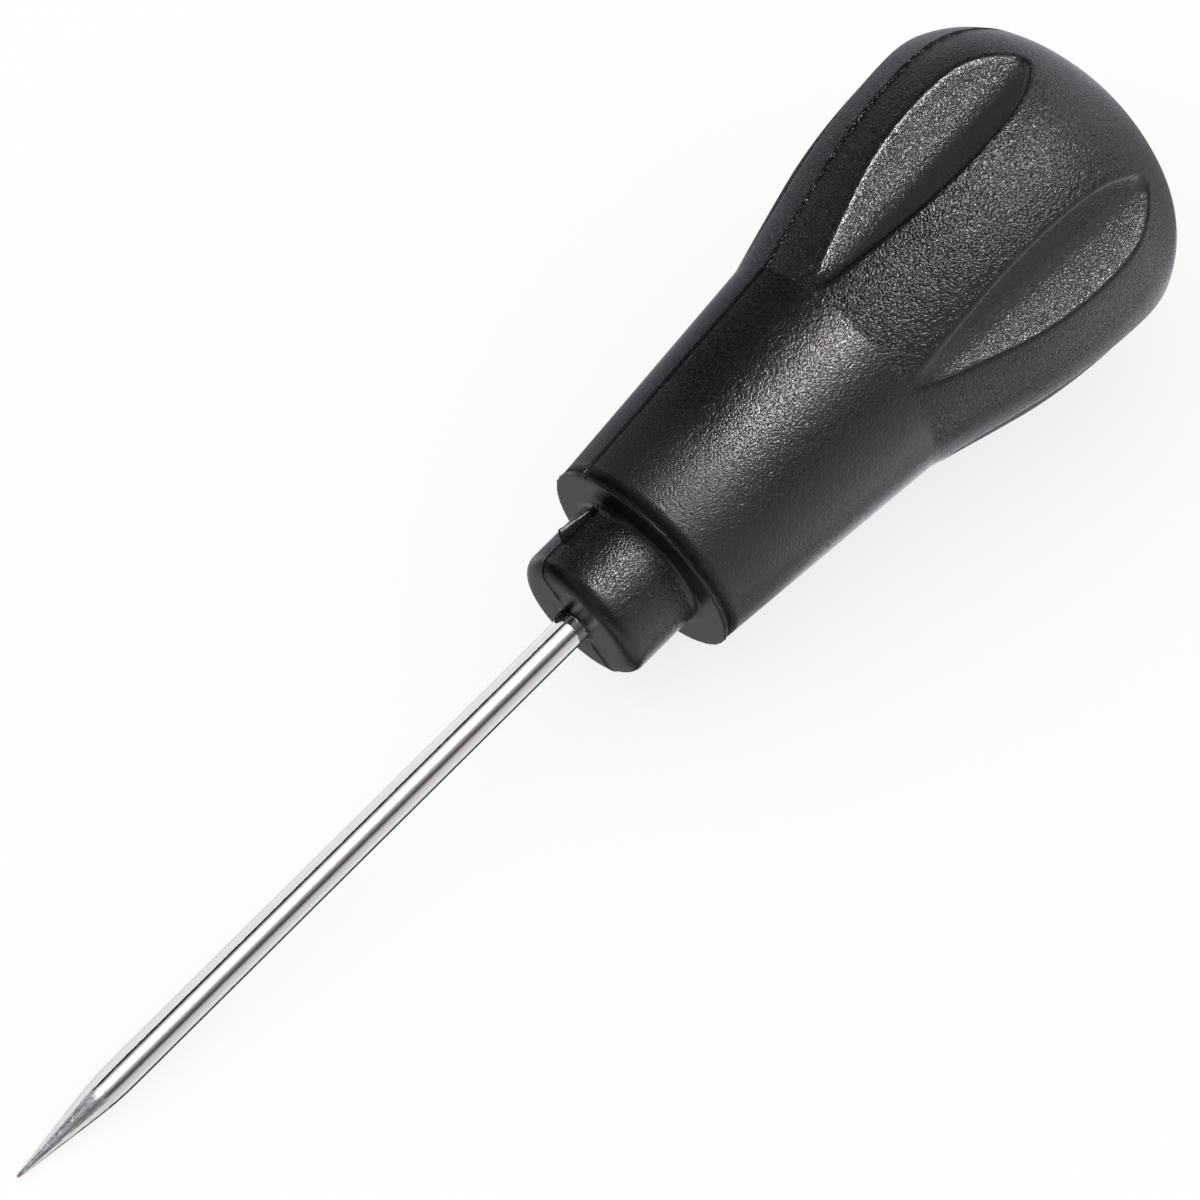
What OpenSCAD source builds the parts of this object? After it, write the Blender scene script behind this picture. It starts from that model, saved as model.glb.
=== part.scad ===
// Bradawl: a round plated blade ground to a cone point, moulded into a two-shot handle.
// The first shot is the core: nose, front flange and barrel round the tang. The second shot is the
// grip: a tapered neck and a domed bulb with a ring of flutes.
// Millimetres. The blade lies along X with its point towards -X. The origin is on the blade's axis
// at the nose face, where the blade leaves the handle. A flute faces +Z and another faces -Z.

/* [Blade] */
// Diameter of the round blade
blade_d = 4; // [3:0.1:6]
// Length of blade that shows in front of the nose face
blade_l = 90; // [60:0.5:150]
// Length of the ground cone point
point_l = 14; // [6:0.5:30]
// Diameter of the blunt spot at the very tip
tip_d = 0.4; // [0.1:0.05:1]

/* [Tang] */
// Height of the tang's rolled ridges above the blade's surface
tang_raise = 0.2; // [0.2:0.05:0.4]
// Length of tang inside the handle
tang_l = 58; // [44:0.5:66]
// Chamfer at the inner end of the tang
tang_chamfer = 0.6; // [0.2:0.1:1]
// Width across a pair of pressed wings
wing_w = 7.2; // [6:0.1:10]
// Thickness of a wing
wing_t = 1.6; // [1:0.1:2.4]
// Length of a wing along the tang
wing_l = 6; // [4:0.5:10]
// Length of the slope at each end of a wing
wing_slope = 1.4; // [0.5:0.1:1.9]
// Bare tang left behind the last wings
wing_back = 5; // [3:0.5:10]
// Distance between the two pairs of wings, centre to centre
wing_pitch = 14; // [11:0.5:20]

/* [Nose] */
// Diameter of the nose
nose_d = 17.4; // [13:0.1:21]
// Length of the nose, from its face to the handle's front face
nose_l = 10.5; // [6:0.1:16]
// Rounding of the edge round the nose face
nose_edge_r = 2; // [0.5:0.1:3.5]

/* [Flange] */
// Thickness of the flange's visible rim
flange_edge_t = 0.4; // [0.3:0.05:0.9]
// Thickness of the flange where it meets the barrel
flange_root_t = 1.6; // [1.2:0.1:3]
// Rounding of the rim's front corner
rim_edge_r = 0.25; // [0.1:0.05:0.3]

/* [Neck] */
// Diameter of the handle at its front face
neck_front_d = 26.1; // [24:0.1:30]
// Length of the neck, from the front face to the crease
neck_l = 32.5; // [22:0.5:45]
// Diameter of the neck at the crease
crease_d = 31.5; // [29.5:0.1:35]

/* [Bulb] */
// Greatest diameter over the ridges
bulb_d = 43.4; // [38:0.1:46]
// Length from the crease to the greatest diameter
belly_l = 28.8; // [26.5:0.1:38]
// Radius of the long curve ahead of the greatest diameter
belly_r = 58; // [35:0.5:66]
// Radius of the tight curve behind the greatest diameter
shoulder_r = 14.7; // [10:0.1:15.8]
// Length from the greatest diameter to the end of the butt
butt_l = 16.4; // [15.3:0.1:20]

/* [Flutes] */
// Number of flutes round the bulb
flute_count = 6; // [4:1:8]
// Distance from the crease to the pointed front end of a flute
flute_setback = 0.4; // [0.2:0.1:3]
// Width across a flute at the greatest diameter
flute_w = 9.7; // [8:0.1:11]
// Depth of a flute under the ridges at the greatest diameter
flute_depth = 3.1; // [2:0.1:3.3]
// Radius of a flute's rounded bottom
flute_bottom_r = 1.8; // [1:0.1:2.4]

/* [Core] */
// Thickness of the grip over the barrel along the neck
grip_wall = 3; // [2:0.1:4]
// Thickness of the grip at the end of the butt
butt_wall = 6; // [4:0.1:9]
// Width of a barrel rib, which keys the grip under a ridge
rib_w = 4; // [2:0.1:5]
// Height of a barrel rib
rib_h = 2; // [1:0.1:2.4]
// Distance from the crease to the front end of the ribs
rib_setback = 4; // [2:0.5:12]

/* [Hidden] */
$fn = 96;

plating = [0.80, 0.81, 0.83];
core_plastic = [0.15, 0.15, 0.16];
grip_plastic = [0.09, 0.09, 0.10];

full_turn = 360;
side_on = full_turn / 4;
arc_count = 120;
arc_step = full_turn / arc_count;
half = 1 / 2;
overrun = blade_d / 2;

blade_r = blade_d / 2;
tip_r = tip_d / 2;
tang_r = blade_r + tang_raise;
nose_r = nose_d / 2;
rim_r = neck_front_d / 2;
crease_r = crease_d / 2;
bulb_r = bulb_d / 2;

// Stations along the handle, measured from the nose face
front_z = nose_l;
grip_z = front_z + flange_edge_t;
crease_z = front_z + neck_l;
wide_z = crease_z + belly_l;
butt_z = wide_z + butt_l;

// The straight flare leaves the crease and runs tangent into the belly's curve
belly_c = bulb_r - belly_r;
crease_to_belly = norm([belly_l, crease_r - belly_c]);
flare_angle = asin(belly_r / crease_to_belly) - atan2(crease_r - belly_c, belly_l);

// The butt is a dome on the axis that runs tangent into the shoulder's curve
shoulder_c = bulb_r - shoulder_r;
dome_r = (butt_l * butt_l + shoulder_c * shoulder_c - shoulder_r * shoulder_r)
    / (2 * (butt_l - shoulder_r));
dome_z = butt_z - dome_r;
join_lean = atan2(shoulder_c, wide_z - dome_z);

// The barrel follows the neck's taper at the thickness of the grip, on past the crease
neck_slope = (crease_r - rim_r) / (crease_z - grip_z);
inner_dome_r = dome_r - butt_wall;
function barrel_r(z) = rim_r - grip_wall + neck_slope * (z - grip_z);

// A flute is a straight groove with flat walls and a rounded bottom. Its lowest line leaves the
// flare behind the crease and rises to the flute's depth at the widest place
flute_r = crease_r + flute_setback * tan(flare_angle);
floor_r = bulb_r - flute_depth;
floor_lean = atan((floor_r - flute_r) / (belly_l - flute_setback));
// At the widest place its walls meet the ridges at the flute's width
mouth_side = flute_w * half;
mouth_r = sqrt(bulb_r * bulb_r - mouth_side * mouth_side);
mouth_rise = (mouth_r - floor_r) * cos(floor_lean) - flute_bottom_r;
wall_lean = atan2(mouth_rise, mouth_side) + asin(flute_bottom_r / norm([mouth_rise, mouth_side]));
wall_top = 2 * flute_depth;
wall_side = (flute_bottom_r + (wall_top - flute_bottom_r) * cos(wall_lean)) / sin(wall_lean);
flute_run = belly_l + butt_l;
flute_pitch = full_turn / flute_count;

// Points on an arc, from one lean off the axis to another, leaving out the first few
function arc(centre, r, from, to, skip) = let (steps = ceil(abs(to - from) / arc_step)) [
    for (i = [skip : steps]) let (lean = from + (to - from) * i / steps)
        centre + r * [sin(lean), cos(lean)]
];

module along_tool() {
    rotate([0, side_on, 0]) children();
}

// What lies outside a rounded corner of radius r, with the corner at the origin
module corner_2d(r) {
    difference() {
        translate([-r, 0]) square([r + overrun, r]);
        translate([-r, r]) circle(r);
    }
}

module wings() {
    slope_w = wing_w - 2 * wing_slope;
    translate([0, wing_t * half, 0]) rotate([side_on, 0, 0])
        linear_extrude(wing_t) polygon([
            [-slope_w * half, -wing_l * half], [slope_w * half, -wing_l * half],
            [wing_w * half, wing_slope - wing_l * half], [wing_w * half, wing_l * half - wing_slope],
            [slope_w * half, wing_l * half], [-slope_w * half, wing_l * half],
            [-wing_w * half, wing_l * half - wing_slope], [-wing_w * half, wing_slope - wing_l * half]
        ]);
}

module tang() {
    last_z = tang_l - wing_back - wing_l * half;
    rotate_extrude() polygon([
        [0, 0], [tang_r, 0], [tang_r, tang_l - tang_chamfer],
        [tang_r - tang_chamfer, tang_l], [0, tang_l]
    ]);
    translate([0, 0, last_z]) wings();
    translate([0, 0, last_z - wing_pitch]) rotate(side_on) wings();
}

module blade() {
    color(plating) along_tool() {
        rotate_extrude() polygon([
            [0, -blade_l], [tip_r, -blade_l], [blade_r, point_l - blade_l], [blade_r, 0], [0, 0]
        ]);
        tang();
    }
}

// Half section of the nose and flange
module front_2d() {
    difference() {
        square([nose_r, front_z]);
        translate([nose_r, 0]) corner_2d(nose_edge_r);
    }
    difference() {
        polygon([
            [0, front_z], [rim_r, front_z], [rim_r, grip_z],
            [barrel_r(front_z + flange_root_t), front_z + flange_root_t], [0, front_z + flange_root_t]
        ]);
        translate([rim_r, front_z]) corner_2d(rim_edge_r);
    }
}

// Half section of the barrel, domed at its end to follow the butt
module barrel_2d() {
    polygon([
        [0, front_z], [barrel_r(front_z), front_z], [barrel_r(wide_z), wide_z], [0, wide_z]
    ]);
    intersection() {
        polygon([[0, wide_z], [barrel_r(wide_z), wide_z], [barrel_r(butt_z), butt_z], [0, butt_z]]);
        translate([0, dome_z]) circle(inner_dome_r);
    }
}

module ribs() {
    rib_z = crease_z + rib_setback;
    intersection() {
        rotate_extrude() polygon([
            [0, rib_z], [barrel_r(rib_z) + rib_h, rib_z], [barrel_r(wide_z) + rib_h, wide_z], [0, wide_z]
        ]);
        for (i = [0 : flute_count - 1])
            rotate((i + half) * flute_pitch)
                translate([0, -rib_w * half, rib_z]) cube([bulb_r, rib_w, wide_z - rib_z]);
    }
}

module core_body() {
    rotate_extrude() {
        front_2d();
        barrel_2d();
    }
    ribs();
}

module handle_core() {
    color(core_plastic) along_tool() difference() {
        core_body();
        tang();
    }
}

module neck() {
    translate([0, 0, grip_z]) cylinder(h = crease_z - grip_z, r1 = rim_r, r2 = crease_r);
}

// Half section of the bulb: flare, belly curve, shoulder curve and dome
module bulb_2d() {
    polygon(concat(
        [[0, crease_z], [crease_r, crease_z]],
        arc([belly_c, wide_z], belly_r, side_on + flare_angle, side_on, 0),
        arc([shoulder_c, wide_z], shoulder_r, side_on, join_lean, 1),
        arc([0, dome_z], dome_r, join_lean, 0, 1)
    ));
}

// Section of a flute, with its lowest point at the origin and its mouth towards +X
module flute_2d() {
    polygon(concat(
        arc([flute_bottom_r, 0], flute_bottom_r, -side_on - wall_lean, wall_lean - side_on, 0),
        [[wall_top, wall_side], [wall_top, -wall_side]]
    ));
}

module flutes() {
    for (i = [0 : flute_count - 1])
        rotate(i * flute_pitch)
            translate([flute_r, 0, crease_z + flute_setback]) rotate([0, floor_lean, 0])
                translate([0, 0, -overrun]) linear_extrude(flute_run) flute_2d();
}

module handle_grip() {
    color(grip_plastic) along_tool() difference() {
        union() {
            neck();
            difference() {
                rotate_extrude() bulb_2d();
                flutes();
            }
        }
        core_body();
    }
}

blade();
handle_core();
handle_grip();
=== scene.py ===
import math

import bpy
import numpy as np
from mathutils import Matrix, Vector


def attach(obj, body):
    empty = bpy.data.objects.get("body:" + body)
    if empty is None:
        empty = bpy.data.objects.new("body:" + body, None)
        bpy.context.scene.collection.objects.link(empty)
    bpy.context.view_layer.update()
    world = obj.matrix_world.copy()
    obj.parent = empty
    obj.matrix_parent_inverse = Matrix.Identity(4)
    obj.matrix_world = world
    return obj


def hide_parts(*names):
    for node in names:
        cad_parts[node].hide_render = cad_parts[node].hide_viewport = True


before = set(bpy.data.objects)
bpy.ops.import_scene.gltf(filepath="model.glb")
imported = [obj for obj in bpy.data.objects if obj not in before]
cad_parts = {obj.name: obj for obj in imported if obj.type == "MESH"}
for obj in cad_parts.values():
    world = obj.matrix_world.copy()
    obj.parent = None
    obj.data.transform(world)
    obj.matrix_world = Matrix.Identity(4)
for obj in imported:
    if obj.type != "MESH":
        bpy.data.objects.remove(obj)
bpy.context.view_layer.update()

print("frame loaded, nodes:", ", ".join(sorted(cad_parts)))

# meshes are worked out in millimetres and degrees, with x along the tool and its point towards -x
mm = 0.001
perMetre = 1000
sectorCount = 6  # ridges at 0, 60, 120 degrees and so on, flutes halfway between
sectorAngle = 360 / sectorCount
halfSector = sectorAngle / 2
seamAngle = 60  # the mould parts along this ridge and the one opposite
skinGap = 0.004  # between the faces of two pieces that touch
tiny = 1e-9


def sinDeg(a):
    return np.sin(np.radians(a))


def cosDeg(a):
    return np.cos(np.radians(a))


def smoothStep(low, high, x):
    t = np.clip((x - low) / (high - low), 0, 1)
    return t * t * (3 - 2 * t)


def smoothMin(a, b, k):
    h = np.maximum(k - np.abs(a - b), 0) / k
    return np.minimum(a, b) - h * h * k / 4


def wander(x, pitch, start):  # a repeatable wobble between -1 and 1
    p = x / pitch
    return (np.sin(2.1 * p + start) + np.sin(3.7 * p + 1.7 * start) + np.sin(7.3 * p + 2.9 * start)) / 3


def spread(low, high, step):  # even stations about one step apart, both ends among them
    return list(np.linspace(low, high, max(2, int(round(abs(high - low) / step)) + 1)))


def makePiece(name, points, faces):
    mesh = bpy.data.meshes.new(name)
    mesh.from_pydata([(float(x) * mm, float(y) * mm, float(z) * mm) for x, y, z in points], [], faces)
    mesh.update()
    mesh.shade_smooth()
    piece = bpy.data.objects.new(name, mesh)
    bpy.context.scene.collection.objects.link(piece)
    return piece


def closedShell(name, startPole, rings, endPole):
    # a ring is (x, angles, radii), where x and radii are one number or one for each angle
    columns = len(rings[0][1])
    points = [(startPole, 0, 0)]
    for x, angles, radii in rings:
        x, radii = (np.broadcast_to(np.asarray(values, float), (columns,)) for values in (x, radii))
        points += list(zip(x, radii * cosDeg(angles), radii * sinDeg(angles)))
    points.append((endPole, 0, 0))
    following = [(j + 1) % columns for j in range(columns)]
    faces = [(0, 1 + following[j], 1 + j) for j in range(columns)]
    for i in range(len(rings) - 1):
        here, there = 1 + i * columns, 1 + (i + 1) * columns
        faces += [(here + j, here + following[j], there + following[j], there + j) for j in range(columns)]
    last = 1 + (len(rings) - 1) * columns
    faces += [(last + j, last + following[j], len(points) - 1) for j in range(columns)]
    return makePiece(name, points, faces)


class Wire:  # one socket of a node, so that sums on shader values read as sums
    def __init__(self, graph, socket):
        self.graph, self.socket = graph, socket

    def of(self, name):  # another output of the same node
        return Wire(self.graph, self.socket.node.outputs[name])

    def __add__(self, other):
        return self.graph.math("ADD", self, other)

    def __sub__(self, other):
        return self.graph.math("SUBTRACT", self, other)

    def __rsub__(self, other):
        return self.graph.math("SUBTRACT", other, self)

    def __mul__(self, other):
        return self.graph.math("MULTIPLY", self, other)

    def __truediv__(self, other):
        return self.graph.math("DIVIDE", self, other)

    def __rtruediv__(self, other):
        return self.graph.math("DIVIDE", other, self)

    __radd__ = __add__
    __rmul__ = __mul__


class Graph:
    def __init__(self, owner):
        owner.use_nodes = True
        self.tree = owner.node_tree
        self.tree.nodes.clear()

    def add(self, kind, settings=None, sockets=None, out=0):
        node = self.tree.nodes.new("ShaderNode" + kind)
        for key, value in (settings or {}).items():
            if key == "stops":
                self.setStops(node.color_ramp, value)
            else:
                setattr(node, key, value)
        for key, value in (sockets or {}).items():
            if isinstance(value, Wire):
                self.tree.links.new(value.socket, node.inputs[key])
            else:
                node.inputs[key].default_value = value
        return Wire(self, node.outputs[out]) if len(node.outputs) else node

    def setStops(self, ramp, stops):
        while len(ramp.elements) < len(stops):
            ramp.elements.new(1)
        for element, (place, colour) in zip(ramp.elements, stops):
            element.position = place
            element.color = colour

    def math(self, operation, *values):
        return self.add("Math", {"operation": operation}, dict(enumerate(values)))

    def ease(self, value, low, high, first=0, last=1):  # a soft step from first to last
        return self.add("MapRange", {"interpolation_type": "SMOOTHSTEP"},
                        {"Value": value, "From Min": low, "From Max": high, "To Min": first, "To Max": last})

    def mixColour(self, share, first, second):  # the Mix node's colour sockets have only numbers
        return self.add("Mix", {"data_type": "RGBA"}, {0: share, 6: first, 7: second}, out=2)

    def noise(self, place, scale, detail, roughness=0.5):
        return self.add("TexNoise", None, {"Vector": place, "Scale": scale, "Detail": detail,
                                           "Roughness": roughness})

    def stretched(self, place, scales):
        return self.add("Mapping", None, {"Vector": place, "Scale": scales})

    def alongTool(self, place):  # millimetres from the nose face
        return self.add("SeparateXYZ", None, {"Vector": place}, out="X") * perMetre


def newMaterial(name):
    material = bpy.data.materials.new(name)
    return material, Graph(material)


def grey(level):
    return (level, level, level, 1)


# the photograph's viewing angle and framing, for a square picture
cameraSet = {
    "aim": Vector((0.00387, 0, 0)),  # this point of the axis is the middle of the picture, metres
    "lean": 15.87,  # how far the blade's point leans towards the camera
    "rise": 60,  # how far round the axis the camera stands, up from level
    "roll": 44.72,  # how steeply the axis rises in the picture
    "distance": 1.0,
    "sensor": 36,
    "lens": 265.5,
    "clip": (0.05, 20),
}
cameraSide = 180 - cameraSet["rise"]  # where that is in degrees round the axis from +y


def makeCamera(c):
    lean, rise, roll = (math.radians(c[key]) for key in ("lean", "rise", "roll"))
    across = Vector((0, -math.sin(rise), -math.cos(rise)))
    facing = Vector((0, -math.cos(rise), math.sin(rise)))  # from the axis to the camera, straight out
    back = Vector((-math.sin(lean), 0, 0)) + facing * math.cos(lean)
    along = Vector((math.cos(lean), 0, 0)) + facing * math.sin(lean)
    right = along * math.cos(roll) + across * math.sin(roll)
    up = along * math.sin(roll) - across * math.cos(roll)
    turn = Matrix((right, up, back)).transposed().to_4x4()
    data = bpy.data.cameras.new("camera")
    data.sensor_width, data.lens = c["sensor"], c["lens"]
    data.clip_start, data.clip_end = c["clip"]
    camera = bpy.data.objects.new("camera", data)
    camera.matrix_world = Matrix.Translation(c["aim"] + back * c["distance"]) @ turn
    bpy.context.scene.collection.objects.link(camera)
    bpy.context.scene.camera = camera
    print("camera placed")


makeCamera(cameraSet)


# blade: ground point, drawn rod, and the tang with its pressed wings inside the handle
bladeSet = {
    "radius": 2.0,
    "length": 90.0,
    "pointLength": 14.0,
    "tipRadius": 0.2,
    "tipRounding": ((0.012, 0.09), (0.05, 0.15), (0.12, 0.195)),  # distance behind the tip, radius
    "shoulderBlend": 3.0,  # half the length over which the rod turns into the cone
    "tangRadius": 2.2,
    "tangLength": 58.0,
    "tangChamfer": 0.6,
    "wingWidth": 7.2,
    "wingThickness": 1.6,
    "wingLength": 6.0,
    "wingSlope": 1.4,
    "wingBack": 5.0,
    "wingPitch": 14.0,
}


def tangRadius(b, x, angles):
    radii = np.full(len(angles), b["tangRadius"])
    last = b["tangLength"] - b["wingBack"] - b["wingLength"] / 2
    for middle, turned in ((last, 0), (last - b["wingPitch"], 90)):  # the last pair stands along z
        away = abs(x - middle)
        if away > b["wingLength"] / 2:
            continue
        reach = b["wingWidth"] / 2 - max(0, away - (b["wingLength"] / 2 - b["wingSlope"]))
        across = np.abs(sinDeg(angles - turned)) + tiny
        outward = np.abs(cosDeg(angles - turned)) + tiny
        plate = np.minimum(reach / across, b["wingThickness"] / 2 / outward)
        radii = np.maximum(radii, plate)
    return radii


def tangStations(b):
    last = b["tangLength"] - b["wingBack"] - b["wingLength"] / 2
    half, slope = b["wingLength"] / 2, b["wingSlope"]
    justOff, justOn = 0.02, 0.001
    stations = [0.15, 2, 6, 12, 18, 24]
    for middle in (last - b["wingPitch"], last):
        stations += [middle - half - justOff, middle - half + justOn, middle - half + slope,
                     middle, middle + half - slope, middle + half - justOn, middle + half + justOff]
    return stations + [b["tangLength"] - b["tangChamfer"]]


def bladeAngles():  # with columns at the wings' corners
    quarter = [0, 4.2, 8.4, 12.53, 17, 21.3, 28, 36, 45, 54, 62, 68.7, 73, 77.47, 81.6, 85.8]
    return np.array([turn * 90 + a for turn in range(4) for a in quarter])


def makeBlade(b):
    angles = bladeAngles()
    shoulder = b["pointLength"] - b["length"]
    blend = b["shoulderBlend"]
    taper = (b["radius"] - b["tipRadius"]) / b["pointLength"]
    coneStep, blendStep, rodStep = 0.7, 0.2, 2
    profile = [(behind - b["length"], r) for behind, r in b["tipRounding"]]
    for x in spread(0.25 - b["length"], shoulder - blend - 0.3, coneStep):
        profile.append((x, b["radius"] + taper * (x - shoulder)))
    for x in spread(shoulder - blend, shoulder + blend, blendStep):
        profile.append((x, b["radius"] - taper * (shoulder + blend - x) ** 2 / (4 * blend)))
    profile += [(x, b["radius"]) for x in spread(shoulder + blend + 0.4, -0.4, rodStep)]
    # the tang's ridges start just inside the nose face
    profile += [(0.02, b["radius"]), (0.05, b["tangRadius"] - 0.05), (0.1, b["tangRadius"])]
    rings = [(x, angles, r) for x, r in profile]
    rings += [(x, angles, tangRadius(b, x, angles)) for x in tangStations(b)]
    rings.append((b["tangLength"], angles, b["tangRadius"] - b["tangChamfer"]))
    piece = closedShell("blade_rod", -b["length"], rings, b["tangLength"])
    print("blade built")
    return piece


blade = makeBlade(bladeSet)
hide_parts("blade")
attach(blade, "root")


# the handle's outline, shared by the core and the grip
handleSet = {
    "noseRadius": 8.7,
    "noseLength": 10.5,
    "noseEdge": 2.0,
    "flangeEdge": 0.4,
    "flangeRoot": 1.6,
    "rimCorner": 0.25,
    "rimRadius": 13.05,
    "neckLength": 32.5,
    "creaseRadius": 15.75,
    "creaseBlend": 0.12,  # the crease is softened a little
    "bulbRadius": 21.7,
    "bellyLength": 28.8,
    "bellyCurve": 58.0,
    "shoulderCurve": 14.7,
    "buttLength": 16.4,
    "gripWall": 3.0,
    "buttWall": 6.0,
    "ribWidth": 4.0,
    "ribHeight": 2.0,
    "ribSetback": 4.0,
}


class Outline:  # stations and curves worked out from handleSet, as in the solids
    def __init__(self, h):
        self.h = h
        self.front = h["noseLength"]
        self.gripStart = self.front + h["flangeEdge"]
        self.crease = self.front + h["neckLength"]
        self.wide = self.crease + h["bellyLength"]
        self.butt = self.wide + h["buttLength"]
        self.bellyCentre = h["bulbRadius"] - h["bellyCurve"]
        rise = h["creaseRadius"] - self.bellyCentre
        self.flare = (math.asin(h["bellyCurve"] / math.hypot(h["bellyLength"], rise))
                      - math.atan2(rise, h["bellyLength"]))
        self.bellyStart = self.wide - h["bellyCurve"] * math.sin(self.flare)
        self.shoulderCentre = h["bulbRadius"] - h["shoulderCurve"]
        self.domeRadius = ((h["buttLength"] ** 2 + self.shoulderCentre ** 2 - h["shoulderCurve"] ** 2)
                           / (2 * (h["buttLength"] - h["shoulderCurve"])))
        self.domeCentre = self.butt - self.domeRadius
        self.joinLean = math.atan2(self.shoulderCentre, self.wide - self.domeCentre)
        self.join = self.domeCentre + self.domeRadius * math.cos(self.joinLean)
        self.neckSlope = (h["creaseRadius"] - h["rimRadius"]) / (self.crease - self.gripStart)
        self.innerDomeRadius = self.domeRadius - h["buttWall"]
        self.innerEnd = self.domeCentre + self.domeRadius - h["buttWall"]

    def neck(self, x):
        return self.h["rimRadius"] + self.neckSlope * (x - self.gripStart)

    def barrel(self, x):
        return self.neck(x) - self.h["gripWall"]

    def bulb(self, x):
        h = self.h
        if x < self.bellyStart:
            return h["creaseRadius"] + (x - self.crease) * math.tan(self.flare)
        if x < self.wide:
            return self.bellyCentre + math.sqrt(h["bellyCurve"] ** 2 - (x - self.wide) ** 2)
        if x < self.join:
            return self.shoulderCentre + math.sqrt(h["shoulderCurve"] ** 2 - (x - self.wide) ** 2)
        return math.sqrt(max(0, self.domeRadius ** 2 - (x - self.domeCentre) ** 2))

    def ridge(self, x):  # neck and bulb without the flutes
        if x > self.bellyStart:
            return self.bulb(x)
        neck, bulb, blend = self.neck(x), self.bulb(x), self.h["creaseBlend"]
        near = max(blend - abs(neck - bulb), 0) / blend
        return max(neck, bulb) + near * near * blend / 4


outline = Outline(handleSet)


def ribbedBarrel(x, angles):
    h = handleSet
    bare = outline.barrel(x)
    if not outline.crease + h["ribSetback"] <= x <= outline.wide:
        return np.full(len(angles), bare)
    nearest = (angles + halfSector) % sectorAngle - halfSector
    side = np.abs(sinDeg(nearest)) + tiny
    return np.clip(h["ribWidth"] / 2 / side, bare, bare + h["ribHeight"])


def barrelStations():
    ribStart = outline.crease + handleSet["ribSetback"]
    stations = [outline.front + handleSet["flangeRoot"]]
    stations += spread(14, ribStart - 0.02, 6) + [ribStart]
    return stations + spread(ribStart + 4, outline.wide - 4, 4) + [outline.wide]


def innerDomeStations():  # where the barrel ends under the butt
    centre, reach = outline.domeCentre, outline.innerDomeRadius
    start = centre + math.sqrt(reach ** 2 - outline.barrel(outline.wide + 4) ** 2)
    leans = spread(math.acos((start - centre) / reach), 0.06, 0.08)
    domed = [(centre + reach * math.cos(a), reach * math.sin(a)) for a in leans]
    step = (outline.wide + 0.02, outline.barrel(outline.wide))
    return [step] + [(x, r) for x, r in domed if x > outline.wide + 0.5]


def seamDistance(angles, radius):  # along the surface from the nearer parting line, and which side
    turned = (angles - seamAngle + 90) % 180 - 90
    far = (angles - seamAngle) % 360 > 180
    return np.radians(turned) * radius, far


# core: nose, front face and rim, with the ribbed barrel inside the grip
coreSet = {
    "lipRadius": 2.02,  # the moulding closes round the blade
    "lipHeight": 0.3,
    "lipWidth": 0.6,
    "lipWobble": 0.25,
    "lipStart": 0.04,  # from the blade's hole to the lip's top
    "seamHeight": 0.09,
    "seamWidth": 0.12,
    "seamWobble": 0.5,
    "halfStep": 0.1,  # one mould half stands this much proud of the other
    "junction": 0.9,  # rounding between nose and front face
    "rimFlash": 0.14,  # height of the ragged edge round the flange
    "rimWobble": 0.8,
    "rimShift": 0.07,  # how far that edge wanders along the tool
}
cornerLeans = (22, 45, 68, 90)  # degrees round a small rounded corner


def coreColumns():  # close together at the seam and at the ribs' corners
    near = [0, 0.66, 1.32, 2.3, 4, 6.6, 7.4, 8.4, 11, 14, 17.5, 21, 25.5]
    offsets = [-a for a in near[:0:-1]] + near + [halfSector]
    return np.array([turn * sectorAngle + a for turn in range(sectorCount) for a in offsets])


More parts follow.
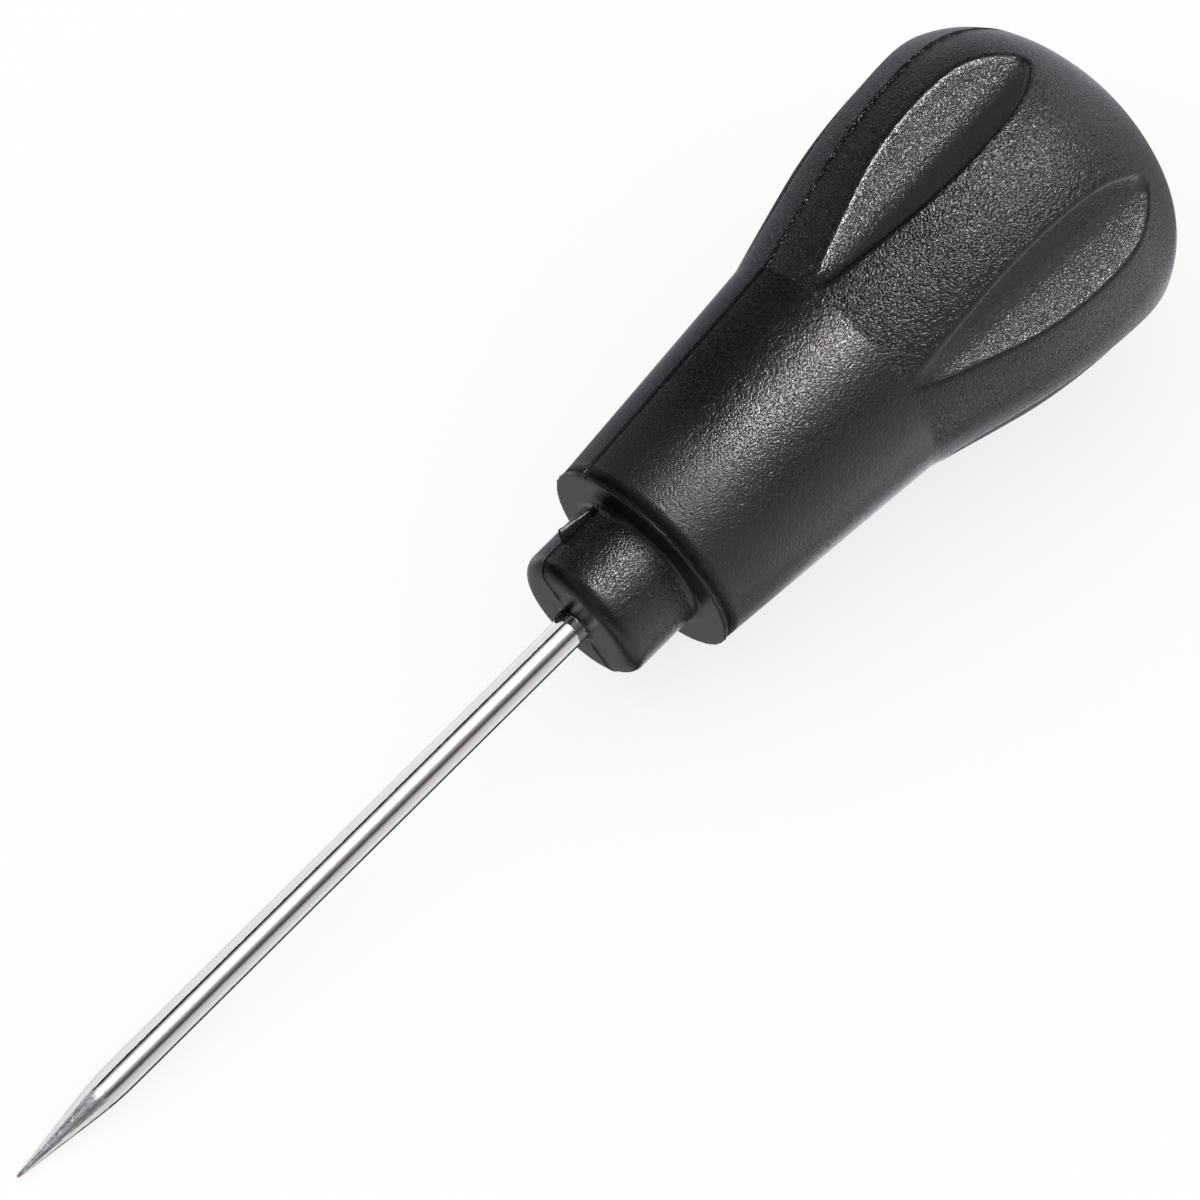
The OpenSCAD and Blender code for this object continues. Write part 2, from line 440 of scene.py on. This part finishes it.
def makeCore(h, c, b):
    angles = coreColumns()
    bore = b["tangLength"] + skinGap
    rings = [(bore, angles, b["tangRadius"] - b["tangChamfer"])]
    rings += [(x, angles, tangRadius(b, x, angles) + skinGap) for x in reversed(tangStations(b))]
    rings.append((0.06, angles, b["tangRadius"] + skinGap))
    rings.append((-0.02, angles, c["lipRadius"]))

    wobble = 1 + c["lipWobble"] * wander(angles, 25, 1.1)
    for share in (0, 0.12, 0.3, 0.55, 0.8, 1):
        rings.append((-c["lipHeight"] * wobble * (1 - share) ** 2, angles,
                      c["lipRadius"] + c["lipStart"] + c["lipWidth"] * share * wobble))

    def seamed(x, r, outX, outR, share):
        # moves a ring out along its normal by the seam's bead and the step between the mould halves
        away, far = seamDistance(angles, max(r, 4))
        bead = c["seamHeight"] * np.exp(-(away / c["seamWidth"]) ** 2)
        bead = bead * (1 + c["seamWobble"] * wander(x + r, 1.3, 0.4 + far))
        step = c["halfStep"] * far * smoothStep(0, 0.1, np.abs(away))
        out = (bead + step) * share
        return (x + outX * out, angles, r + outR * out)

    noseRadius, edge, junction = h["noseRadius"], h["noseEdge"], c["junction"]
    for r in (3.2, 4, 5, 6, noseRadius - edge):
        rings.append(seamed(0, r, -1, 0, smoothStep(2.7, 4, r)))
    for lean in range(9, 91, 9):
        a = math.radians(lean)
        rings.append(seamed(edge * (1 - math.cos(a)), noseRadius - edge * (1 - math.sin(a)),
                            -math.cos(a), math.sin(a), 1))
    rootStart = h["noseLength"] - junction
    rings += [seamed(x, noseRadius, 0, 1, 1) for x in spread(edge + 0.5, rootStart, 0.5)]
    for lean in cornerLeans:
        a = math.radians(lean)
        rings.append(seamed(rootStart + junction * math.sin(a), noseRadius + junction * (1 - math.cos(a)),
                            0, 1, 1 - lean / 90))

    corner = h["rimRadius"] - h["rimCorner"]
    rings += [(h["noseLength"], angles, r) for r in spread(noseRadius + junction + 0.4, corner, 0.6)]
    flash = c["rimFlash"] * (1 + c["rimWobble"] * wander(angles, 3.4, 2.2))
    shift = c["rimShift"] * wander(angles, 5, 0.8)
    for lean in cornerLeans:
        a = math.radians(lean)
        share = smoothStep(40, 90, lean)
        rings.append((h["noseLength"] + h["rimCorner"] * (1 - math.cos(a)) + shift * share, angles,
                      corner + h["rimCorner"] * math.sin(a) + flash * share))
    rings.append((h["noseLength"] + 0.33 + shift, angles, h["rimRadius"] + flash * 0.9))
    # a narrow gap shows dark between the rim and the grip
    rings.append((outline.gripStart - 0.02 + shift * 0.5, angles, h["rimRadius"] - 0.05))
    rings.append((outline.gripStart + 0.03, angles, h["rimRadius"] - 0.3))

    rings += [(x, angles, ribbedBarrel(x, angles)) for x in barrelStations()]
    rings += [(x, angles, r) for x, r in innerDomeStations()]
    piece = closedShell("handle_core_moulding", bore, rings, outline.innerEnd)
    print("core built")
    return piece


core = makeCore(handleSet, coreSet, bladeSet)
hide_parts("handle_core")
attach(core, "root")


# flash: thin fins that the mould left in its parting plane, at the blade and on the nose's side
flashSet = {
    "atBlade": {"from": -2.05, "to": 0.3, "root": 1.96, "height": 0.62, "thickness": 0.3, "end": 0.35,
                "wobble": 0.16, "pitch": 0.45, "phase": 0.7, "narrowing": 0},
    "onNose": {"from": 4.0, "to": 9.8, "root": 8.5, "height": 1.9, "thickness": 0.34, "end": 0.7,
               "wobble": 0.05, "pitch": 1.1, "phase": 2.1, "narrowing": 0.6},
    "section": ((0, 0.5), (0.6, 0.42), (1, 0.18)),  # share of the height, half the thickness there
    "leastHeight": 0.06,
    "stationStep": 0.22,
}


def makeFlash(name, f, shared):
    stations = spread(f["from"], f["to"], shared["stationStep"])
    turn = math.radians(seamAngle)
    points, faces = [], []
    for x in stations:
        reach = f["height"] * (1 + f["wobble"] * wander(x, f["pitch"], f["phase"]))
        reach = reach * smoothStep(f["from"] - 0.05, f["from"] + f["end"], x)
        reach = reach * (1 - f["narrowing"] * (x - f["from"]) / (f["to"] - f["from"]))
        for share, half in shared["section"]:
            r = f["root"] + max(reach, shared["leastHeight"]) * share
            for side in (-half * f["thickness"], half * f["thickness"]):
                points.append((x, r * math.cos(turn) - side * math.sin(turn),
                               r * math.sin(turn) + side * math.cos(turn)))
    loop = [0, 2, 4, 5, 3, 1]  # the section's points in order round it
    corners = len(loop)
    for i in range(len(stations) - 1):
        here, there = corners * i, corners * (i + 1)
        for j, following in zip(loop, loop[1:] + loop[:1]):
            faces.append((here + j, here + following, there + following, there + j))
    faces.append(tuple(loop[::-1]))
    faces.append(tuple(corners * (len(stations) - 1) + j for j in loop))
    piece = makePiece(name, points, faces)
    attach(piece, "root")
    return piece


entryFlash = makeFlash("flash_at_blade", flashSet["atBlade"], flashSet)
noseFlash = makeFlash("flash_on_nose", flashSet["onNose"], flashSet)
print("flash built")


# grip: tapered neck and fluted bulb over the core
gripSet = {
    "fluteSetback": 0.4,  # from the crease to a flute's front end
    "fluteWidth": 9.7,  # at the greatest diameter
    "fluteDepth": 3.1,
    "fluteBottom": 1.8,  # radius of the rounded bottom in the solids
    "valleyRadius": 2.4,  # the same as it looks under the grain
    "wallBow": 2.0,  # how much a wall steepens towards its edge
    "edgeBlend": 0.6,  # how soft a flute's edge is
    "edgeWear": 1.3,  # how far the wear reaches from the edge, in edge blends
    "fillDepth": 0.8,  # the painted fill light in a flute is full where the flute is this deep
    "frontCorner": 0.3,
    "seamOnNeck": 0.08,
    "seamOnBulb": 0.22,
    "seamGroove": 0.22,
    "seamWobble": 0.45,
    # rings along the handle, from, to and step, closer together at the crease and the flutes' round ends
    "stations": ((11.2, 41.5, 1.6), (42, 44.5, 0.14), (45, 75, 0.7), (75.4, 81, 0.16)),
    "shoulderFrom": 81.4,  # from here the rings are at even angles on the shoulder, then on the dome
    "shoulderStep": 2.2,
    "domeStep": 1.7,
    "fluteEnds": (78.4, 80.2),  # the columns leave the flutes' edges between these
    "columnHalf": (3.0, 6.5),  # least half width of a flute's columns, along the flutes and off them
}


class Groove:  # the straight groove that cuts a flute, with flat walls and a rounded bottom
    def __init__(self, h, g):
        self.start = outline.crease + g["fluteSetback"]
        self.startRadius = outline.bulb(self.start)
        floor = h["bulbRadius"] - g["fluteDepth"]
        self.lean = math.atan((floor - self.startRadius) / (outline.wide - self.start))
        side, bottom = g["fluteWidth"] / 2, g["fluteBottom"]
        rise = (math.sqrt(h["bulbRadius"] ** 2 - side ** 2) - floor) * math.cos(self.lean) - bottom
        self.slope = math.atan2(rise, side) + math.asin(bottom / math.hypot(rise, side))
        self.depth = bottom * (1 - 1 / math.cos(self.slope))  # from the lowest line to where the walls meet
        self.valley = g["valleyRadius"]

    def radius(self, x, offsets):  # distance from the axis to the groove's surface, huge where it misses
        lean, slope, valley = self.lean, self.slope, self.valley
        meet = self.startRadius * math.cos(lean) + (x - self.start) * math.sin(lean) + self.depth
        out, side = cosDeg(offsets) * math.cos(lean), sinDeg(offsets)
        clear = out - side * math.tan(slope)
        wall = meet / np.maximum(clear, 1e-3)
        centre = meet + valley / math.cos(slope)
        a, b = out ** 2 + side ** 2, out * centre
        under = b * b - a * (centre ** 2 - valley ** 2)
        bottom = (b - np.sqrt(np.maximum(under, 0))) / a
        inBottom = (under > 0) & (bottom * side <= valley * math.sin(slope))
        missed = (x <= outline.crease) | (clear <= 0.01)
        return np.where(missed, 1e3, np.where(inBottom, bottom, wall))

    def halfAngle(self, x):  # where the groove's wall meets the ridge surface
        if self.radius(x, np.array([0.0]))[0] >= outline.ridge(x):
            return 0.0
        low, high = 0.0, halfSector - 0.5
        for _ in range(30):
            middle = (low + high) / 2
            if self.radius(x, np.array([middle]))[0] < outline.ridge(x):
                low = middle
            else:
                high = middle
        return low


def gripStations(g):
    stations = [x for part in g["stations"] for x in spread(*part)]
    curve = handleSet["shoulderCurve"]
    start = math.degrees(math.acos((g["shoulderFrom"] - outline.wide) / curve))
    for lean in spread(start, math.degrees(outline.joinLean), g["shoulderStep"]):
        stations.append(outline.wide + curve * math.cos(math.radians(lean)))
    return stations


def gripColumns(x, radius, groove, g):
    # offsets from a flute's middle to the ridge, mirrored to the next flute and repeated all round;
    # the columns follow the flute's edge, and run on at an even width where there is no flute
    inFlutes = smoothStep(outline.crease, outline.crease + 6, x) * (1 - smoothStep(*g["fluteEnds"], x))
    least, offFlutes = g["columnHalf"]
    half = max(groove.halfAngle(x), least + (offFlutes - least) * (1 - inFlutes))
    bottom = min(math.degrees(groove.valley * math.sin(groove.slope) / radius), half * 0.6)
    inside = [bottom * share for share in (0, 0.3, 0.6, 0.85, 1.1)]
    inside += [inside[-1] + (half - inside[-1]) * share for share in (0.25, 0.5, 0.72, 0.86, 0.95, 1)]
    perMm = math.degrees(1 / radius)
    outside = [half + e * perMm for e in (0.12, 0.26, 0.42, 0.65, 1.0, 1.5)]
    seam = [halfSector - e * perMm for e in (1.0, 0.6, 0.38, 0.22, 0.1)]
    between = [outside[-1] + (seam[0] - outside[-1]) * i / 5 for i in range(1, 5)]
    offsets = inside + outside + between + seam + [halfSector]
    offsets = np.array(offsets + [sectorAngle - a for a in offsets[-2:0:-1]])
    return np.concatenate([halfSector + turn * sectorAngle + offsets for turn in range(sectorCount)])


def flutedRing(x, angles, groove, g):  # radii, wear at the flutes' edges, and a share for the painted fill light that lightens the flutes by depth
    base = outline.ridge(x)
    near = (angles - halfSector) % sectorAngle  # 0 in the middle of a flute
    near = np.minimum(near, sectorAngle - near)
    half = groove.halfAngle(x)
    across = np.clip(near / max(half, 0.1), 0, 1)
    sag = across ** 2 * (1 - across) * (math.radians(half) * base * 2 / g["fluteWidth"]) ** 2
    wall = groove.radius(x, near) - g["wallBow"] * sag
    blend = g["edgeBlend"] * (0.3 + 0.7 * smoothStep(outline.crease, outline.crease + 5, x))
    wear = np.clip(1 - np.abs(base - wall) / (blend * g["edgeWear"]), 0, 1)
    # painted fill light: how much of the lighter colour a point gets from its depth in a flute
    fillShare = np.clip((base - wall) / g["fillDepth"], 0, 1)
    return smoothMin(np.full(len(angles), base), wall, blend), wear, fillShare


def seamRelief(x, angles, g):  # a ragged bead along the parting line with a groove on its other side
    away, far = seamDistance(angles, outline.ridge(x))
    side = np.where(far, -away, away)
    onBulb = smoothStep(outline.crease + 8, outline.crease + 22, x) * (1 - smoothStep(80, 84, x))
    height = g["seamOnNeck"] + (g["seamOnBulb"] - g["seamOnNeck"]) * onBulb
    height = height * (1 + g["seamWobble"] * wander(x + 40 * far, 2.3, 0.9))
    bead = np.interp(side, [-0.4, -0.22, -0.1, 0, 0.1], [0, 0.35, 1, 0.9, 0])
    dip = np.interp(side, [0, 0.1, 0.22, 0.38], [0, 1, 0.8, 0])
    return height * bead, g["seamGroove"] * dip


def makeGrip(h, g):
    groove = Groove(h, g)
    firstAngles = gripColumns(20, 13, groove, g)  # as on the neck
    rings = [(x + skinGap, firstAngles, r) for x, r in reversed(innerDomeStations())]
    rings += [(x, firstAngles, ribbedBarrel(x, firstAngles) + skinGap) for x in reversed(barrelStations())]
    start, corner = outline.gripStart, g["frontCorner"]
    rings.append((start + 0.035, firstAngles, h["rimRadius"] - 0.32))
    for lean in (15, 40, 65, 90):
        a = math.radians(lean)
        rings.append((start + 0.03 + corner * (1 - math.cos(a)), firstAngles,
                      h["rimRadius"] - corner * (1 - math.sin(a)) + 0.01))
    marks = {"edge": {}, "hollow": {}}  # by ring, for the material
    for x in gripStations(g):
        angles = gripColumns(x, outline.ridge(x), groove, g)
        radii, marks["edge"][len(rings)], marks["hollow"][len(rings)] = flutedRing(x, angles, groove, g)
        bead, dip = seamRelief(x, angles, g)
        rings.append((x, angles, radii + bead - dip))
    for lean in spread(math.degrees(outline.joinLean) - 1.6, 0.9, g["domeStep"]):
        a = math.radians(lean)
        rings.append((outline.domeCentre + outline.domeRadius * math.cos(a), angles,
                      outline.domeRadius * math.sin(a)))
    piece = closedShell("handle_grip_moulding", outline.innerEnd + skinGap, rings, outline.butt)
    for label, marked in marks.items():
        values = np.zeros((len(rings), len(angles)))
        for i, row in marked.items():
            values[i] = row
        attribute = piece.data.attributes.new(label, "FLOAT", "POINT")
        attribute.data.foreach_set("value", np.concatenate([[0], values.ravel(), [0]]))
    print("grip built,", len(rings), "rings of", len(angles), "points")
    return piece


grip = makeGrip(handleSet, gripSet)
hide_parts("handle_grip")
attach(grip, "root")


# bright plated steel: drawing lines along the rod, grinding scratches on the point, a browned tip
steelSet = {
    "colour": (0.76, 0.765, 0.775, 1),
    "tipTint": (0.62, 0.50, 0.47, 1),
    "tintFade": (1.3, 0.5),  # the tint comes in between these distances from the tip
    "roughness": 0.04,
    "groundRoughness": 0.12,
    "groundFade": (0.4, 1.8),  # the scratches come in between these distances past the shoulder
    "groundWander": 3,
    "edgePattern": (60, 1500, 1500),  # repeats to a metre along the tool and across it
    "drawnPattern": (40, 2600, 2600),
    "scratchPattern": (260, 3400, 3400),
    "waveScale": 800,
    "dentScale": 2300,
    "smearScale": 160,
    "relief": 0.00002,  # metres, shared out by the heights
    "drawnHeight": (0.2, 0.8),  # on the rod, and what the ground point adds
    "scratchHeight": (0.04, 3.2),
    "waveHeight": 0.3,
    "dentHeight": 0.4,
    "drawnDulling": 0.04,  # how much roughness the drawing lines and the smears add
    "smearDulling": 0.02,
}


def platedSteel(s, b):
    material, g = newMaterial("plated_steel_finish")
    place = g.add("TexCoord", out="Object")
    x = g.alongTool(place)
    shoulder = b["pointLength"] - b["length"]
    ragged = g.noise(g.stretched(place, s["edgePattern"]), 1, 2)
    ground = g.ease(x + (ragged - 0.5) * s["groundWander"],
                    shoulder - s["groundFade"][0], shoulder - s["groundFade"][1])
    tip = g.ease(x, s["tintFade"][0] - b["length"], s["tintFade"][1] - b["length"])
    drawn = g.noise(g.stretched(place, s["drawnPattern"]), 1, 3, 0.6)
    scratches = g.noise(g.stretched(place, s["scratchPattern"]), 1, 3, 0.6)
    waves = g.noise(place, s["waveScale"], 1)
    dents = g.noise(place, s["dentScale"], 1)
    smears = g.noise(place, s["smearScale"], 2)
    drawnRod, drawnPoint = s["drawnHeight"]
    scratchRod, scratchPoint = s["scratchHeight"]
    height = drawn * (drawnRod + ground * drawnPoint) + scratches * (scratchRod + ground * scratchPoint)
    height = height + waves * s["waveHeight"] + dents * s["dentHeight"]
    roughness = s["roughness"] + (drawn - 0.5) * s["drawnDulling"]
    roughness = roughness + ground * (s["groundRoughness"] - s["roughness"])
    surface = g.add("BsdfPrincipled", None, {
        "Base Color": g.mixColour(tip, s["colour"], s["tipTint"]),
        "Metallic": 1.0,
        "Roughness": roughness + g.ease(smears, 0.5, 0.75) * s["smearDulling"],
        "Normal": g.add("Bump", None, {"Strength": 1.0, "Distance": s["relief"], "Height": height}),
    })
    g.add("OutputMaterial", None, {"Surface": surface})
    return material


# black plastic with the mould's pebble grain, coarser on the bulb, worn bright on the flutes' edges
plasticSet = {
    "colour": (0.0017, 0.0016, 0.0017, 1),
    "worn": (0.0036, 0.0034, 0.0036, 1),
    "paintedFill": (0.012, 0.0115, 0.0115, 1),  # painted fill light: a lighter colour put in the flutes by their depth
    "patchScale": 90,  # of the slightly worn patches
    "patchShare": 0.5,
    "patchDulling": 0.08,
    "cell": 0.27,  # size of a pebble of the grain
    "sway": (0.0006, 0.0006, 0.0006),  # how far the pebbles stray from even cells, metres
    "faceDepth": 0.028,
    "noseDepth": 0.054,
    "neckDepth": 0.048,
    "bulbDepth": 0.092,
    "faceRoughness": 0.26,
    "noseRoughness": 0.26,
    "neckRoughness": 0.24,
    "neckFrontRoughness": 0.42,
    "bulbRoughness": 0.27,
    "ior": 1.49,
    "edgeSmoothing": 0.75,  # what the wear takes off the grain and the roughness at a flute's edge
    "edgeGloss": 0.15,
    # where these come in, in millimetres from the nose face
    "noseGrain": (1.7, 3.0),
    "faceSmooth": (9.4, 10.1),
    "neckGrain": (10.95, 11.6),
    "dullFront": (27, 15),
    "creaseFade": 0.15,  # half the length over which the neck's grain turns into the bulb's
}
flashPlasticSet = dict(plasticSet, noseDepth=0.014, faceDepth=0.014)  # the fins are smoother


def pebbledPlastic(name, p, isCore):
    material, g = newMaterial(name)
    place = g.add("TexCoord", out="Object")
    x = g.alongTool(place)
    scale = perMetre / p["cell"]
    sway = g.noise(place, scale * 0.35, 1)
    swayed = g.add("VectorMath", {"operation": "MULTIPLY_ADD"},
                   {0: sway.of("Color"), 1: p["sway"], 2: place})
    cells = g.add("TexVoronoi", {"feature": "F1"}, {"Vector": swayed, "Scale": scale, "Randomness": 0.9})
    pebbles = g.noise(swayed, scale * 1.1, 1) * 0.5 - cells * cells
    patch = g.noise(place, p["patchScale"], 3, 0.6)
    colour = g.mixColour(g.ease(patch, 0.45, 0.75) * p["patchShare"], p["colour"], p["worn"])
    if isCore:  # the mould was polished on the end faces
        side = g.ease(x, *p["noseGrain"]) * g.ease(x, *p["faceSmooth"][::-1])
        depth = p["faceDepth"] + side * (p["noseDepth"] - p["faceDepth"])
        roughness = p["faceRoughness"] + side * (p["noseRoughness"] - p["faceRoughness"])
    else:
        side = g.ease(x, *p["neckGrain"])
        onFront = g.ease(x, *p["dullFront"])
        onBulb = g.ease(x, outline.crease - p["creaseFade"], outline.crease + p["creaseFade"])
        edge = g.add("Attribute", {"attribute_name": "edge"}, out="Fac")
        hollow = g.add("Attribute", {"attribute_name": "hollow"}, out="Fac")
        depth = side * (p["neckDepth"] + onBulb * (p["bulbDepth"] - p["neckDepth"]))
        depth = depth * (1 - edge * p["edgeSmoothing"])
        roughness = p["neckRoughness"] + onBulb * (p["bulbRoughness"] - p["neckRoughness"])
        roughness = roughness + onFront * (p["neckFrontRoughness"] - p["neckRoughness"])
        roughness = roughness - edge * p["edgeGloss"]
        # painted fill light: the flutes are coloured lighter by depth, standing in for light in the hollows
        colour = g.mixColour(hollow, colour, p["paintedFill"])
    surface = g.add("BsdfPrincipled", None, {
        "Base Color": colour,
        "Roughness": roughness + (patch - 0.5) * p["patchDulling"],
        "IOR": p["ior"],
        "Normal": g.add("Bump", None, {"Strength": 1.0, "Distance": mm, "Height": pebbles * depth}),
    })
    g.add("OutputMaterial", None, {"Surface": surface})
    return material


blade.data.materials.append(platedSteel(steelSet, bladeSet))
core.data.materials.append(pebbledPlastic("core_plastic_finish", plasticSet, True))
flashFinish = pebbledPlastic("flash_finish", flashPlasticSet, True)
for piece in (entryFlash, noseFlash):
    piece.data.materials.append(flashFinish)
grip.data.materials.append(pebbledPlastic("grip_plastic_finish", plasticSet, False))
print("finishes made")


# studio: pale floor, white surroundings, and soft bands of light that shiny surfaces see round the tool
studioSet = {
    "ambient": 1.0,  # what the matt surfaces see all round
    "bandTop": 2.0,  # the brightest level that a band can have
    "bandChange": (0.02, 0.045),  # how far a direction leans to the butt where pointBands turn into bands
    "floorOwnLight": 0.8,
    "floorColour": 0.98,
    "floorSize": 3.0,
    "floorSteps": 12,
    "floorContact": 21.1,  # how far below the axis the bulb's lowest ridges lie
    "floorDrop": 0.0004,
}

# degrees from the camera round the axis, positive towards the picture's lower right, with level and tint
plain, warm, cool = (1, 1, 1), (1.06, 0.98, 0.97), (1.0, 0.96, 1.12)
bands = [
    (-180, 0.8, cool), (-160, 0.42, cool), (-145, 0.32, cool), (-123, 0.3, cool), (-119, 0.02, plain),
    (-54, 0.02, plain), (-50, 0.25, plain), (-44, 0.6, plain), (-36, 1.1, plain), (-26, 1.7, plain),
    (-5, 1.7, plain), (2, 1.4, plain), (8, 1.05, plain), (14, 0.55, warm), (22, 0.33, warm),
    (32, 0.11, warm), (44, 0.09, warm), (52, 0.38, warm), (62, 0.67, warm), (76, 0.78, plain),
    (88, 0.76, plain), (100, 0.95, plain), (126, 0.88, plain), (132, 0.03, plain), (180, 0.03, plain),
]
# the same for directions that lean to the point, which the blade's cone and the end faces see
pointBands = [
    (-180, 0.36, plain), (-150, 0.5, plain), (-132, 0.35, plain), (-120, 0.02, plain), (-66, 0.02, plain),
    (-63, 0.8, plain), (-58, 0.8, plain), (-50, 0.2, plain), (-40, 0.12, cool), (-30, 0.12, cool),
    (-24, 0.36, cool), (-10, 0.45, cool), (2, 0.52, cool), (9, 0.24, plain), (16, 0.14, plain),
    (29, 0.2, warm), (57, 0.21, plain), (65, 0.35, plain), (72, 0.62, plain), (90, 1.05, plain),
    (110, 0.8, plain), (126, 0.7, plain), (131, 0.08, plain), (150, 0.08, plain), (157, 0.4, plain),
    (180, 0.36, plain),
]


def makeWorld(s):
    world = bpy.data.worlds.new("studio")
    bpy.context.scene.world = world
    g = Graph(world)
    top = s["bandTop"]
    ray = g.add("LightPath", out="Is Camera Ray")
    direction = g.add("SeparateXYZ", None, {"Vector": g.add("TexCoord", out="Generated")})
    fromCamera = g.math("ARCTAN2", direction.of("Z"), direction.of("Y")) - math.radians(cameraSide)
    turned = g.math("WRAP", fromCamera, math.pi, -math.pi) / (2 * math.pi) + 0.5

    def ramp(rows):
        stops = [((degrees + 180) / 360, tuple(level / top * t for t in tint) + (1,))
                 for degrees, level, tint in rows]
        return g.add("ValToRGB", {"stops": stops}, {"Fac": turned})

    shine = g.mixColour(g.ease(direction.of("X"), *s["bandChange"]), ramp(pointBands), ramp(bands))
    light = g.mixColour(ray.of("Is Glossy Ray"), grey(s["ambient"] / top), shine)
    seen = g.math("MAXIMUM", ray, ray.of("Is Transmission Ray"))
    colour = g.mixColour(seen, light, grey(1 / top))
    background = g.add("Background", None, {"Color": colour, "Strength": top})
    g.add("OutputWorld", None, {"Surface": background})


def floorFinish(s):  # its own light for what sees it, matt for the rest, and clear from below
    material, g = newMaterial("pale_floor")
    ray = g.add("LightPath", out="Is Camera Ray")
    seen = g.math("MAXIMUM", g.math("MAXIMUM", ray, ray.of("Is Glossy Ray")), ray.of("Is Transmission Ray"))
    matt = g.add("BsdfDiffuse", None, {"Color": grey(s["floorColour"])})
    bright = g.add("Emission", None, {"Color": grey(1), "Strength": 1.0})
    below = g.add("BsdfTransparent", None, {"Color": grey(1)})
    above = g.add("MixShader", None, {0: seen * s["floorOwnLight"], 1: matt, 2: bright})
    both = g.add("MixShader", None, {0: g.add("NewGeometry", out="Backfacing"), 1: above, 2: below})
    g.add("OutputMaterial", None, {"Surface": both})
    return material


def makeFloor(s):
    # tilted so that the tool lies on it, on its point and on the two lowest ridges
    low = Vector((-bladeSet["length"] * mm, 0, 0))
    high = Vector((outline.wide * mm, 0, -s["floorContact"] * mm))
    half, steps = s["floorSize"] / 2, s["floorSteps"]
    marks = [half * (2 * i / steps - 1) for i in range(steps + 1)]
    corners = [i * (steps + 1) + j for i in range(steps) for j in range(steps)]
    mesh = bpy.data.meshes.new("floor")
    mesh.from_pydata([(x, y, 0) for x in marks for y in marks], [],
                     [(a, a + steps + 1, a + steps + 2, a + 1) for a in corners])
    floor = bpy.data.objects.new("floor", mesh)
    bpy.context.scene.collection.objects.link(floor)
    floor.rotation_euler = (0, math.atan2(-high.z, high.x - low.x), 0)
    floor.location = low.lerp(high, 0.5) - Vector((0, 0, s["floorDrop"]))
    floor.visible_glossy = False
    floor.visible_shadow = False
    mesh.materials.append(floorFinish(s))
    print("floor made")


def makeLamp(name, settings, receivers):
    target, direction, distance, size, level, colour = settings
    data = bpy.data.lights.new(name, "AREA")
    data.shape = "RECTANGLE"
    data.size, data.size_y = size
    data.energy = level * math.pi * size[0] * size[1]  # so that level is the lamp's brightness as seen
    data.color = colour
    lamp = bpy.data.objects.new(name, data)
    out = Vector(direction).normalized()
    lamp.location = Vector((target, 0, 0)) + out * distance
    lamp.rotation_mode = "QUATERNION"
    # the lamp's own x axis stays along the tool
    side = Vector((1, 0, 0)) if abs(out.x) < 0.9 else Vector((0, 1, 0))
    side = (side - out * side.dot(out)).normalized()
    lamp.rotation_quaternion = Matrix((side, out.cross(side), out)).transposed().to_quaternion()
    bpy.context.scene.collection.objects.link(lamp)
    group = bpy.data.collections.new(name + "_receivers")
    for piece in receivers:
        group.objects.link(piece)
    lamp.light_linking.receiver_collection = group


def around(degrees, forward):  # a direction so many degrees from the camera, as in the bands
    a = math.radians(cameraSide + degrees)
    return (forward, math.cos(a), math.sin(a))


# target along the axis, direction, distance, size along and across, brightness and colour, in metres
handleLamps = {
    "streak": (0.046, around(-14, 0.18), 0.16, (0.062, 0.028), 37, (1, 0.945, 0.955)),
    "glow": (0.04, around(-8, 0.28), 0.22, (0.07, 0.04), 4.6, (1, 0.96, 0.96)),
    "soft": (0.05, around(5, 0.15), 0.50, (0.5, 0.45), 0.92, (1, 0.98, 0.98)),
    "right": (0.07, around(60, 0.15), 0.40, (0.5, 0.3), 0.42, (1, 0.97, 0.96)),
    "left": (0.134, around(-105, 0), 0.12, (0.07, 0.17), 0.52, (0.96, 0.95, 1)),
    "nose": (0.012, around(-112, 0), 0.12, (0.04, 0.2), 0.75, (0.96, 0.95, 1)),
    "side": (0.14, around(110, 0), 0.15, (0.14, 0.12), 0.86, (0.93, 0.92, 1)),
    "rear": (0.12, around(165, 0.15), 0.40, (0.2, 0.25), 1.6, (0.95, 0.93, 1)),
    "crown": (0.08, around(170, 1.1), 0.40, (0.25, 0.7), 0.34, (0.95, 0.93, 1)),
    "butt": (0.07, (1, 0.1, 0.1), 0.40, (0.4, 0.4), 0.84, (0.96, 0.95, 1)),
}
bladeLamps = {
    "blade_card": (-0.05, around(-93.5, 0.28), 0.30, (1.0, 0.312), 0.96, (1, 1, 1)),
    "blade_edge": (-0.05, around(-144, 0.28), 0.30, (1.0, 0.255), 0.56, (1, 1, 1)),
}


def makeLamps():
    for lamps, receivers in ((handleLamps, [core, grip, entryFlash, noseFlash]), (bladeLamps, [blade])):
        for name, settings in lamps.items():
            makeLamp(name, settings, receivers)
    print("lamps made")


makeWorld(studioSet)
makeFloor(studioSet)
makeLamps()
bpy.context.scene.view_settings.view_transform = "Standard"
